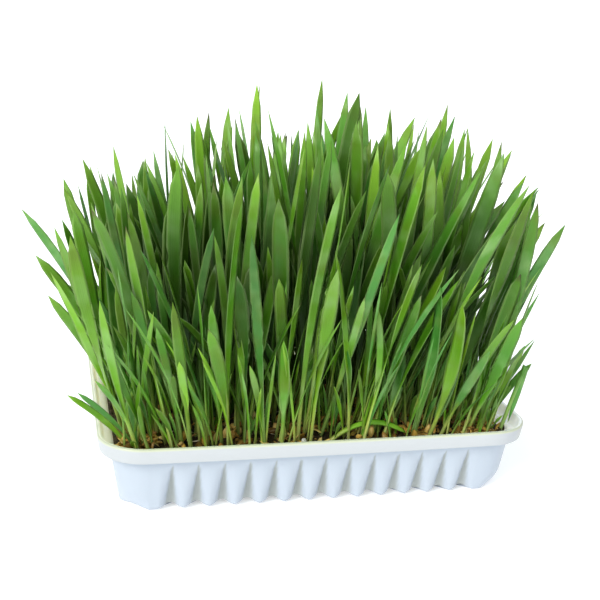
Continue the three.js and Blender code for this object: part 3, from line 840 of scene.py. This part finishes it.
def make_kernels(material):
    """Plump seeds with a crease along one side, half sunk in the sod."""
    ball, ball_faces = unit_ball(10, 12)
    belly, side, top = ball.T
    plump = 1 - 0.3 * (belly + 0.2) ** 2
    crease = np.exp(-(side / CREASE_WIDTH) ** 2) * (top > 0) * CREASE_DEPTH
    kernel = np.column_stack([
        belly * KERNEL_HALF_LENGTH,
        side * KERNEL_HALF_WIDTH * plump,
        (top - crease) * KERNEL_HALF_HEIGHT * plump,
    ])
    spots, draw = scatter_spots(KERNEL_COUNT, 611, ROOT_EDGE - 1.5)
    parts, shades = [], []
    for index, (x, y) in enumerate(UPRIGHT_KERNELS + spots):
        upright = index < len(UPRIGHT_KERNELS)
        size = mix(0.82, 1.08, draw())
        steep = STEEP_TILT if draw() < STEEP_SHARE else FLAT_TILT
        spin = draw() * FULL_TURN
        tilt = (draw() - 0.5) * steep
        grain = turned(kernel * size, spin, UPRIGHT_TILT if upright else tilt, draw() * FULL_TURN)
        z = sod_height(x, y) + mix(-0.2, 1.6, draw()) + upright * UPRIGHT_LIFT
        parts.append(grain + (x, y, z))
        shades.append(mix(0.6, 1, draw()) if upright else draw())
    values = {"shade": np.repeat(shades, len(ball)), "along": np.tile(belly * 0.5 + 0.5, len(parts))}
    return build_repeats("kernels", parts, ball_faces, material, values)


def flake_faces(rows):
    """Faces of a thin sheet of so many rows of three points, its top first and then its underside."""
    under = rows * 3
    faces = []
    for a in range(0, under - 3, 3):
        b = a + under
        for k in range(2):
            faces.append([a + k, a + k + 3, a + k + 4, a + k + 1])
            faces.append([b + k, b + k + 1, b + k + 4, b + k + 3])
        faces.append([a, b, b + 3, a + 3])
        faces.append([a + 2, a + 5, b + 5, b + 2])
    first = [0, 1, 2, under + 2, under + 1, under]
    return faces + [first, [i + under - 3 for i in first[::-1]]]


def make_husks(material):
    """Thin curved bran flakes and split hulls on the sod, thicker in a few places."""
    spots, draw = scatter_spots(HUSK_COUNT, 617, ROOT_EDGE - 1)
    for x, y, reach, count in HUSK_HEAPS:
        for _ in range(count):
            away = reach * math.sqrt(draw())
            turn = draw() * FULL_TURN
            spots.append((x + away * math.cos(turn), y + 0.6 * away * math.sin(turn)))
    steps = np.linspace(-1, 1, 7)
    parts, shades = [], []
    for x, y in spots:
        long = mix(1.4, 3.6, draw())
        wide = long * mix(0.25, 0.45, draw())
        curve = mix(0.3, 1.2, draw())
        rows = []
        for side in (0.5, -0.5):
            for t in steps:
                half = wide * math.sqrt(max(0.02, 1 - t * t))
                up = curve * (1 - t * t) + side * HUSK_THICKNESS
                edge = up - 0.35 * half
                rows += [(t * long, -half, edge), (t * long, 0, up), (t * long, half, edge)]
        flake = turned(np.array(rows), draw() * FULL_TURN, (draw() - 0.5) * 2.2, (draw() - 0.5) * 1.6)
        parts.append(flake + (x, y, sod_height(x, y) + mix(-0.2, 3.0, draw() ** 2)))
        shades.append(draw())
    count = len(parts[0])
    values = {"shade": np.repeat(shades, count), "along": np.full(count * len(parts), 0.5)}
    return build_repeats("husks", parts, flake_faces(len(steps)), material, values)


def make_crumbs(name, material, count, seed, smallest, largest, lift):
    """Small uneven lumps that lie on the sod."""
    ball, ball_faces = unit_ball(4, 6)
    spots, draw = scatter_spots(count, seed, ROOT_EDGE - 2.5)
    parts = []
    for x, y in spots:
        size = mix(smallest, largest, draw() ** 2)
        grain = ball * [size, size * mix(0.6, 1.0, draw()), size * mix(0.5, 0.9, draw())]
        grain = grain * (1 + 0.35 * (np.array([draw() for _ in range(len(ball))]) - 0.5))[:, None]
        grain = turned(grain, draw() * 6.28, draw() * 3.0)
        parts.append(grain + (x, y, sod_height(x, y) + lift * draw()))
    return build_repeats(name, parts, ball_faces, material, smooth_faces=False)


def make_roots(material, count=170, sides=5, steps=9):
    """Thin pale roots that wander over the sod, arched a little off it."""
    draw = seeded_random(903)
    parts = []
    for _ in range(count):
        x = (2 * draw() - 1) * (FIELD_X - 3)
        y = (2 * draw() - 1) * (FIELD_Y - 3)
        heading = draw() * 6.28
        radius = mix(0.16, 0.34, draw())
        step = mix(0.8, 1.9, draw())
        arch = mix(0.2, 1.6, draw())
        points = []
        for i in range(steps + 1):
            t = i / steps
            z = sod_height(x, y) - 0.5 + arch * math.sin(math.pi * t)
            slim = radius * (0.35 + 0.65 * math.sin(math.pi * min(1, 0.15 + t)))
            for k in range(sides):
                spin = FULL_TURN * k / sides
                aside = slim * math.cos(spin)
                across = (x - aside * math.sin(heading), y + aside * math.cos(heading))
                points.append((*across, z + slim * math.sin(spin)))
            heading += (draw() - 0.5) * 0.9
            x = float(np.clip(x + step * math.cos(heading), -FIELD_X, FIELD_X))
            y = float(np.clip(y + step * math.sin(heading), -FIELD_Y, FIELD_Y))
        parts.append(np.array(points))
    return build_repeats("roots", parts, tube_faces(steps + 1, sides), material)


# Blades

# Blades that stand apart from the field, listed one by one: root x and y, tip x, y and z, width, and
# for some where the middle is drawn to, as shares of the rise and of the way outwards
STRAYS = {
    "frontLeftLow": dict(root=(-80, -47), tip=(-105, -44, 46), width=2.6, face=0.4),
    "frontLeftLowTwin": dict(root=(-77, -50), tip=(-101, -50, 49), width=2.3, upright=0.45, face=0.0),
    "leftReach": dict(root=(-80, 22), tip=(-123, 14, 112), width=5.0, face=-0.5),
    "leftReachLower": dict(root=(-79, 4), tip=(-117, -4, 95), width=5.0, face=0.1),
    "leftLow": dict(root=(-81, -14), tip=(-112, -22, 82), width=4.6, upright=0.45, face=-0.2),
    "rightReach": dict(root=(81, -30), tip=(112, -38, 116), width=5.2, face=-0.1),
    "rightReachTwin": dict(root=(80, -8), tip=(116, -12, 112), width=5.4, face=-0.5),
    "rightHigh": dict(root=(74, 24), tip=(108, 14, 143), width=5.0, face=-0.3),
    "rightShoulder": dict(root=(79, 12), tip=(110, 0, 133), width=4.8, face=-0.1),
    "rightShoulderTwin": dict(root=(81, -17), tip=(110, -12, 127), width=5.0, face=-0.6),
    "leftHigh": dict(root=(-68, 6), tip=(-97, 0, 136), width=4.6, face=0.2),
    "rightUp": dict(root=(79, -51), tip=(85, -50, 68), width=3.4, upright=0.6, face=-0.7),
    "rightFork": dict(root=(82, -45), tip=(95, -45, 62), width=3.4, face=0.1),
    "rightForkLow": dict(root=(83, -40), tip=(100, -44, 53), width=3.0, face=-0.4),
    "rightDroop": dict(root=(82, -53), tip=(86, -54, 29), width=2.6, upright=8.4, face=-0.2, outward=4),
    "frontArch": dict(root=(0, -54), tip=(38, -56, 27), width=2.6, upright=3.4, face=1.5, outward=0.5),
    "tallBackLeft": dict(root=(-12, 44), tip=(-13, 48, 168), width=5.2, face=-0.2),
    "tallBack": dict(root=(16, 46), tip=(20, 50, 172), width=4.6, face=0.3),
    "tallMiddle": dict(root=(22, 36), tip=(31, 42, 166), width=4.8, face=-0.5),
    "tallBackRight": dict(root=(42, 40), tip=(39, 50, 165), width=5.0, face=-0.1),
    "tallRight": dict(root=(70, 36), tip=(84, 42, 162), width=4.4, face=-0.4),
    "tallLeft": dict(root=(-34, 40), tip=(-42, 46, 152), width=5.2, face=0.0),
}

# What the scene alone gives to one of them: colour, a broader foot and a broad side turned up
STRAY_LOOKS = {"frontArch": dict(shade=0.7, tone=1.0, upturned=1.1, stem=2.3)}


def stray_blade(root, tip, width, face, upright=STRAY_UPRIGHT, outward=STRAY_OUTWARD):
    low = SOD_TOP - ROOT_DEPTH
    bend = [mix(root[0], tip[0], outward), mix(root[1], tip[1], outward), low + (tip[2] - low) * upright]
    return dict(
        p0=np.array([root[0], root[1], low], dtype=float),
        p1=np.array(bend),
        p2=np.array(tip, dtype=float),
        width=width,
        face=face,
        twist=STRAY_TWIST,
        neck=STRAY_NECK,
        closing=STRAY_CLOSING,
    )


def facing(draw, most=math.pi / 2):
    """A leaf's direction, more often broad than edge-on towards the front."""
    turn = (2 * draw() - 1) * most
    return FACING + turn * mix(FACING_BIAS, 1, abs(turn) * 2 / math.pi)


def field_blade(x, y, draw):
    """Blades of the field fan out towards the tray's edges and are shorter there."""
    u = x / HALF_LENGTH
    v = y / HALF_WIDTH
    fan_x = (-LEAN_LEFT if u < 0 else LEAN_RIGHT) * abs(u) ** FAN_POWER
    fan_y = (-LEAN_FRONT if v < 0 else LEAN_BACK) * abs(v) ** FAN_POWER
    lean_x = fan_x + (draw() - 0.5) * LEAN_SCATTER
    lean_y = fan_y + (draw() - 0.5) * LEAN_SCATTER
    curl = mix(CURL_LEAST, CURL_MOST, draw()) * (CURLED_MORE if draw() < CURLED_SHARE else 1.0)
    sway_x = (draw() - 0.5) * TIP_SWAY
    sway_y = (draw() - 0.5) * TIP_SWAY
    left = SHORTER_LEFT * clamp01((-u - 0.1) / 0.8) ** 1.3
    side = left + SHORTER_RIGHT * smooth((u - 0.6) / 0.35)
    front = SHORTER_FRONT * smooth((-v - 0.35) / 0.5)
    spread = (draw() + draw() + draw()) / 1.5 - 1
    late = LATE_LENGTH if draw() < LATE_SHARE else 1.0
    length = (BLADE_LENGTH + BLADE_LENGTH_SPREAD * spread) * late * (1 - side) * (1 - front * draw())
    width = (BLADE_WIDTH + BLADE_WIDTH_SPREAD * (2 * draw() - 1)) * (1 - SLIMMER_LEFT * left)
    face = facing(draw)
    twist = (draw() - 0.5) * TWIST
    neck = mix(NECK_LEAST, NECK_MOST, draw())
    closing = mix(CLOSING_LEAST, CLOSING_MOST, draw())
    p0 = np.array([x, y, SOD_TOP - ROOT_DEPTH])

    def reach(start, turn_x, turn_y):
        heading = np.array([math.sin(turn_x), math.sin(turn_y), math.cos(math.hypot(turn_x, turn_y))])
        return start + length / 2 * heading

    p1 = reach(p0, lean_x * FIRST_LEAN, lean_y * FIRST_LEAN)
    p2 = reach(p1, lean_x * curl + sway_x, lean_y * curl + sway_y)
    return dict(p0=p0, p1=p1, p2=p2, width=width, face=face, twist=twist, neck=neck, closing=closing)


def blade_points(blade, s):
    s = np.asarray(s, dtype=float)[:, None]
    q = 1 - s
    return q * q * blade["p0"] + 2 * q * s * blade["p1"] + s * s * blade["p2"]


def blade_width(blade, s):
    """A slim sheath, then the open blade, then a blunt point."""
    opening = smooth((s - blade["neck"]) / OPENING)
    ending = clamp01((s - 1 + blade["closing"]) / blade["closing"])
    closing = (1 - ending ** CLOSING_POWER) ** TIP_POWER
    return mix(blade.get("stem", STEM_WIDTH), blade["width"], opening) * closing


def blade_angle(blade, s):
    """Which way the blade faces at its tip, and how its sheath is turned from that."""
    return blade["face"] - blade["twist"] * (1 - smooth((s - TURN_START) / TURN))


LEVELS = SOD_TOP + np.arange(SLICE_COUNT) * SLICE_STEP


def blade_slices(blade):
    """Where each level cuts the blade: x, y, half width and half strip, nan where it doesn't."""
    places = blade_points(blade, np.arange(SLICE_SAMPLES + 1) / SLICE_SAMPLES)
    z = places[:, 2]
    table = np.full((SLICE_COUNT, 5), np.nan)
    crossed = (z[:-1, None] <= LEVELS) & (LEVELS < z[1:, None])
    for k in np.flatnonzero(crossed.any(axis=0)):
        i = np.flatnonzero(crossed[:, k])[-1]
        t = (LEVELS[k] - z[i]) / (z[i + 1] - z[i])
        s = (i + t) / SLICE_SAMPLES
        half = float(blade_width(blade, s)) / 2
        angle = blade_angle(blade, s)
        x, y = mix(places[i, :2], places[i + 1, :2], t)
        table[k] = (x, y, half, half * math.cos(angle), half * math.sin(angle))
    return table


def point_to_strip(px, py, strip):
    x, y, half, dx, dy = strip
    t = np.clip(((px - x) * dx + (py - y) * dy) / (half * half), -1, 1)
    return np.hypot(px - x - t * dx, py - y - t * dy)


def blades_touch(taken, slices):
    """True if the blade cut by slices comes too near any blade in taken."""
    apart = np.hypot(taken[:, :, 0] - slices[:, 0], taken[:, :, 1] - slices[:, 1])
    with np.errstate(invalid="ignore"):
        near = apart <= taken[:, :, 2] + slices[:, 2] + BLADE_CLEARANCE
    who, level = np.nonzero(near)
    if not len(who):
        return False
    a = taken[who, level].T
    b = slices[level].T
    for e in (-1, 1):
        if (point_to_strip(a[0] + e * a[3], a[1] + e * a[4], b) < BLADE_CLEARANCE).any():
            return True
        if (point_to_strip(b[0] + e * b[3], b[1] + e * b[4], a) < BLADE_CLEARANCE).any():
            return True

    def side(s, px, py):
        return np.sign((px - s[0]) * s[4] - (py - s[1]) * s[3])

    splits_a = side(a, b[0] - b[3], b[1] - b[4]) != side(a, b[0] + b[3], b[1] + b[4])
    splits_b = side(b, a[0] - a[3], a[1] - a[4]) != side(b, a[0] + a[3], a[1] + a[4])
    return bool((splits_a & splits_b).any())


def out_of_reach(tip):
    """True past the reach or the crown of the field."""
    right = min(REACH_RIGHT, REACH_RIGHT_MIDDLE + REACH_RIGHT_SLOPE * tip[1])
    beyond = tip[0] - CROWN_LEFT_X
    slope = CROWN_LEFT_STEEP if beyond < 0 else CROWN_LEFT_SLOPE
    crown_right = CROWN_RIGHT_SUM - tip[0] + CROWN_RIGHT_SLOPE * tip[1]
    crown = min(CROWN_TOP, CROWN_LEFT_Z + slope * beyond, crown_right)
    return not (REACH_LEFT < tip[0] < right and REACH_FRONT < tip[1] < REACH_BACK and tip[2] < crown)


def beyond_stand(tip):
    """True past the slanting sides that the late leaves keep within."""
    return abs(tip[0]) > STAND_SIDE + STAND_SLOPE * (tip[2] - SOD_TOP) or abs(tip[1]) > STAND_FRONT


def grow_blades():
    draw = seeded_random(BLADE_SEED)
    blades = [dict(stray_blade(**stray), **STRAY_LOOKS.get(name, {})) for name, stray in STRAYS.items()]
    taken = np.array([blade_slices(blade) for blade in blades])
    for _ in range(BLADE_COUNT):
        for _ in range(BLADE_TRIES):
            x = (2 * draw() - 1) * FIELD_X
            y = (2 * draw() - 1) * FIELD_Y
            blade = field_blade(x, y, draw)
            if abs(x) + abs(y) > FIELD_X + FIELD_Y - ROOT_CORNER:
                continue
            if out_of_reach(blade["p2"]):
                continue
            if any(math.hypot(o["p0"][0] - x, o["p0"][1] - y) < ROOT_SPACING for o in blades):
                continue
            slices = blade_slices(blade)
            if blades_touch(taken, slices):
                continue
            blades.append(blade)
            taken = np.concatenate([taken, slices[None]])
            break
    return blades


# A leaf's cross-section: place across it, and its front, edge or back as 1, 0 or -1
SECTION = [(-1, 0), (-0.55, 1), (0, 1), (0.55, 1), (1, 0), (0.55, -1), (0, -1), (-0.55, -1)]


def blade_grid(blade, s):
    """Points of a fine blade: a rounded sheath that opens into a thin, folded leaf."""
    centre = blade_points(blade, s)
    tangent = blade_points(blade, s + 0.01) - blade_points(blade, s - 0.01)
    tangent /= np.linalg.norm(tangent, axis=1)[:, None]
    angle = blade_angle(blade, s)
    across = np.column_stack([np.cos(angle), np.sin(angle), 0 * angle + blade.get("upturned", 0)])
    across -= (across * tangent).sum(axis=1)[:, None] * tangent
    across /= np.linalg.norm(across, axis=1)[:, None]
    back = np.cross(tangent, across)
    half = blade_width(blade, s - SHEATH_MORE * (1 - s)) / 2 + 0.04
    leaf = smooth((s - blade["neck"] - 0.02) / 0.25)
    round_stem = SHEATH_THICKNESS / 2 * np.minimum(1, half / 0.8)
    thin = np.minimum(1, half / 0.35)
    rise = {
        1: mix(round_stem, (LEAF_FOLD * half + LEAF_THICKNESS / 2) * thin, leaf),
        0: 0 * s,
        -1: mix(-round_stem, (LEAF_FOLD * half - LEAF_THICKNESS / 2) * thin, leaf),
    }
    points = []
    for a, side in SECTION:
        out = rise[side] * (1 - abs(a) ** FOLD_POWER)
        points.append(centre + across * (half * a)[:, None] + back * out[:, None])
    return np.stack(points, axis=1).reshape(-1, 3)


def depth_inside(points):
    """How deep inside the stand a point is, which sets the leaves' painted shade: 0 on its outside, 1 well
    within.
    """
    x, y, z = points.T
    rise = np.maximum(z - SOD_TOP, 0)
    side = FIELD_X + 0.2 * rise - np.abs(x)
    face = FIELD_Y + 0.16 * rise - np.abs(y)
    top = 0.45 * (STAND_TOP - z)
    reach = mix(DEEP_LOW, DEEP_HIGH, clamp01(rise / DEEP_RISE))
    return smooth(np.minimum(np.minimum(side, face), top) / reach)


def make_blades(name, blades, material, seed, segments=14):
    draw = seeded_random(seed)
    s = np.linspace(0, 1, segments + 1)
    parts, shades, tones, dries = [], [], [], []
    for blade in blades:
        shade = draw()
        tone = draw()
        parts.append(blade_grid(blade, s))
        shades.append(blade.get("shade", shade))
        tones.append(blade.get("tone", tone))
        dries.append(smooth((draw() - 0.78) / 0.18))
    sides = len(SECTION)
    count = sides * len(s)
    values = {
        "along": np.tile(np.repeat(s, sides), len(parts)),
        "across": np.tile([a for a, _ in SECTION], len(s) * len(parts)),
        "shade": np.repeat(shades, count),
        "tone": np.repeat(tones, count),
        "dry": np.repeat(dries, count),
        # inside: how deep a point is, turned into painted shade by the leaf material
        "inside": depth_inside(np.concatenate(parts)),
    }
    faces = [face[::-1] for face in tube_faces(len(s), sides)]
    return build_repeats(name, parts, faces, material, values)


def second_leaves(blades, seed):
    """A younger, narrower leaf that leaves the sheath part way up."""
    draw = seeded_random(seed)
    leaves = []
    for blade in blades:
        chance = draw()
        start = blade["neck"] * mix(0.5, 1.0, draw())
        spin = draw() * 6.28
        length = mix(0.35, 0.62, draw()) * np.linalg.norm(blade["p2"] - blade["p0"])
        opening = mix(0.06, 0.34, draw())
        width = blade["width"] * mix(0.55, 0.85, draw())
        looks = dict(width=width, face=facing(draw, LATE_TURN), twist=(draw() - 0.5) * 2.0)
        if chance > 0.75:
            continue
        p0 = blade_points(blade, [start])[0]
        ahead = blade_points(blade, [start + 0.1])[0] - p0
        ahead /= np.linalg.norm(ahead)
        off = np.array([math.cos(spin), math.sin(spin), 0])
        p1 = p0 + ahead * length * 0.5
        p2 = p1 + (ahead + off * math.tan(opening) * 1.6) * length * 0.5
        if out_of_reach(p2) or beyond_stand(p2):
            continue
        leaves.append(dict(p0=p0, p1=p1, p2=p2, neck=0.02, stem=0.8, closing=0.3, **looks))
    return leaves


def young_shoots(count, seed, shortest, longest, widest, rim=0.0):
    """Late shoots, short and slim, between the blades, or only near the tray's sides."""
    spots, draw = scatter_spots(count, seed, ROOT_EDGE)
    shoots = []
    for x, y in spots:
        length = mix(shortest, longest, draw() ** 1.3)
        p0 = np.array([x, y, SOD_TOP - 1.0])
        lean_x = x / HALF_LENGTH * 0.3 + (draw() - 0.5) * 0.7
        lean_y = y / HALF_WIDTH * 0.2 + (draw() - 0.5) * 0.6
        p1 = p0 + length * 0.5 * np.array([lean_x * 0.5, lean_y * 0.5, 1])
        p2 = p1 + length * 0.5 * np.array([lean_x * 1.5, lean_y * 1.5, 0.95])
        width = mix(1.3, widest, draw() ** 1.4)
        looks = dict(width=width, face=facing(draw, LATE_TURN), twist=draw() * 3 - 1.5)
        stem = mix(0.8, 1.4, draw())
        edge = max(abs(x) / FIELD_X, abs(y) / FIELD_Y)
        if edge > rim and not beyond_stand(p2):
            shoots.append(dict(p0=p0, p1=p1, p2=p2, neck=0.3, stem=stem, closing=0.4, **looks))
    return shoots


# Stage, light and camera

def make_stage():
    """A plain floor that stays near white under the part."""
    n = material_nodes("stage_white")
    white = n.finish(n.principled({
        "Base Color": (0.88, 0.88, 0.88, 1),
        "Roughness": 1.0,
        "Specular IOR Level": 0.0,
        "Emission Color": (1, 1, 1, 1),
        "Emission Strength": 0.3,
    }))
    ways = [(-1, -1), (1, -1), (1, 1), (-1, 1)]
    points = [(x * FLOOR_REACH, y * FLOOR_REACH, -FLOOR_DROP) for x, y in ways]
    build_mesh("floor", points, [[0, 1, 2, 3]], white, smooth_faces=False)


def make_sky():
    """White at the horizon, softer and cooler above, and dimmer towards one side."""
    n = Nodes(bpy.data.worlds.new("studio"))
    way = n.add("ShaderNodeTexCoord").outputs["Generated"]
    height = n.add("ShaderNodeSeparateXYZ", {0: way}).outputs["Z"]
    colour = n.ramp(height, [(0.12, WHITE), (1.0, (0.60, 0.67, 0.72))])
    aside = n.add("ShaderNodeVectorMath", {0: way, 1: DIM_SIDE}, operation="DOT_PRODUCT").outputs["Value"]
    dimmed = n.maths("MULTIPLY", aside, n.spread(height, 0.06, 0.16))
    strength = n.spread(dimmed, 0.35, 0.9, SKY_STRENGTH, SKY_STRENGTH_LEAST)
    sky = n.add("ShaderNodeBackground", {"Color": colour, "Strength": strength})
    scene.world = n.finish(sky.outputs["Background"], "ShaderNodeOutputWorld")


def make_lamp():
    """One large soft lamp from the front left."""
    lamp = bpy.data.lights.new("key", "SUN")
    lamp.energy = LAMP_POWER
    lamp.angle = math.radians(LAMP_SPREAD)
    lamp.color = (1.0, 0.98, 0.92)
    key = bpy.data.objects.new("key", lamp)
    key.rotation_euler = Vector(LAMP_WAY).to_track_quat("-Z", "Y").to_euler()
    scene.collection.objects.link(key)


def make_camera():
    flat = math.cos(CAMERA_PITCH)
    ahead = Vector((math.sin(CAMERA_YAW) * flat, math.cos(CAMERA_YAW) * flat, -math.sin(CAMERA_PITCH)))
    level = Vector((math.cos(CAMERA_YAW), -math.sin(CAMERA_YAW), 0))
    up = level.cross(ahead)
    right = math.cos(CAMERA_ROLL) * level + math.sin(CAMERA_ROLL) * up
    up = math.cos(CAMERA_ROLL) * up - math.sin(CAMERA_ROLL) * level
    camera = bpy.data.objects.new("camera", bpy.data.cameras.new("camera"))
    camera.data.sensor_width = SENSOR_WIDTH
    camera.data.lens = CAMERA_LENS
    axes = Matrix((right, up, -ahead)).transposed().to_4x4()
    camera.matrix_world = Matrix.Translation(Vector(CAMERA_PLACE) * MM) @ axes
    scene.collection.objects.link(camera)
    scene.camera = camera


make_camera()
make_sky()
make_lamp()
make_stage()
scene.view_settings.view_transform = "Standard"
scene.view_settings.look = "Medium High Contrast"

leaf = grass_leaf()
seed = seed_skin()
soil = moist_soil()

tray = make_tray(
    white_plastic("white_plastic", 0.0, outside_colour),
    white_plastic("white_plastic_inside", 1.0, inside_colour),
)
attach(tray, "root")
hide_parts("tray")

soil_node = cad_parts["soil"]
soil_node.data.materials.clear()
soil_node.data.materials.append(soil)

blades = grow_blades()
sod_pieces = [
    make_sod(soil),
    make_kernels(seed),
    make_husks(seed),
    make_crumbs("soil_crumbs", soil, 900, 77, 0.5, 2.0, 0.8),
    make_crumbs("white_grains", white_grain(), 70, 78, 0.4, 1.5, 1.4),
    make_roots(pale_root()),
]
leaf_pieces = [
    make_blades("blades", blades, leaf, 31),
    make_blades("second_leaves", second_leaves(blades, 32), leaf, 33, 10),
    make_blades("young_shoots", young_shoots(620, 34, 8, 84, 3.2), leaf, 35, 8),
    make_blades("rim_shoots", young_shoots(440, 36, 10, 56, 2.0, 0.82), leaf, 37, 8),
]
for pieces, slot_name in ((sod_pieces, "moist_soil"), (leaf_pieces, "wheatgrass")):
    for piece in pieces:
        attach(piece, "root")
        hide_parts("grass")
